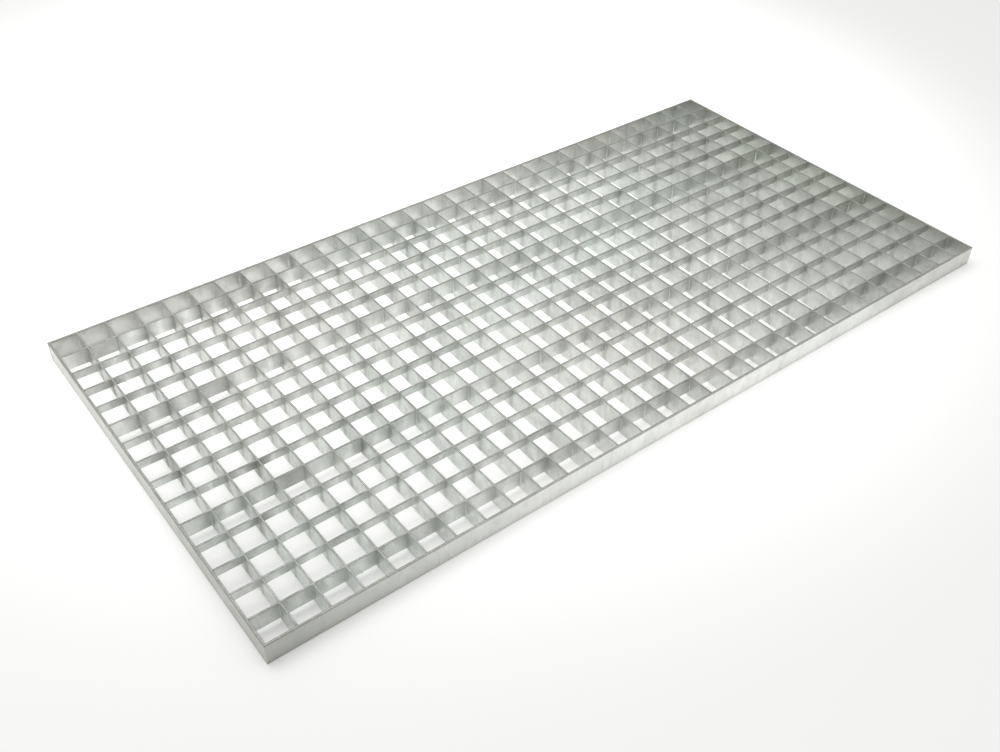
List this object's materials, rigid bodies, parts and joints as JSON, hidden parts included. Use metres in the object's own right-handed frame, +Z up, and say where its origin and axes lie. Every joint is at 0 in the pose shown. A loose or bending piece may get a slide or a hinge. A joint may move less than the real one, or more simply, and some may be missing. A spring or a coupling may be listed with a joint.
{
  "type": "steel grating panel",
  "caption": "Rectangular galvanised press-locked steel grating panel with a square mesh of bearing bars and shallower cross bars, four of them deeper, and flat bands all round.",
  "frame": {"origin": "middle of the underside, on the surface that the panel lies on", "axes": "+X along the long side, +Y along the short side (the way the bearing bars run), +Z up out of the walking face"},
  "size_m": [1, 0.5, 0.025],
  "materials": {
    "bar_zinc": "hot-dip galvanised, dull grey with soft bright patches",
    "band_zinc": "hot-dip galvanised, satin grey, faint spangle"
  },
  "bodies": {
    "root": {"grid_left": "bar_zinc", "grid_middle": "bar_zinc", "grid_right": "bar_zinc", "band_front": "band_zinc", "band_back": "band_zinc", "band_left": "band_zinc", "band_right": "band_zinc"}
  },
  "joints": []
}
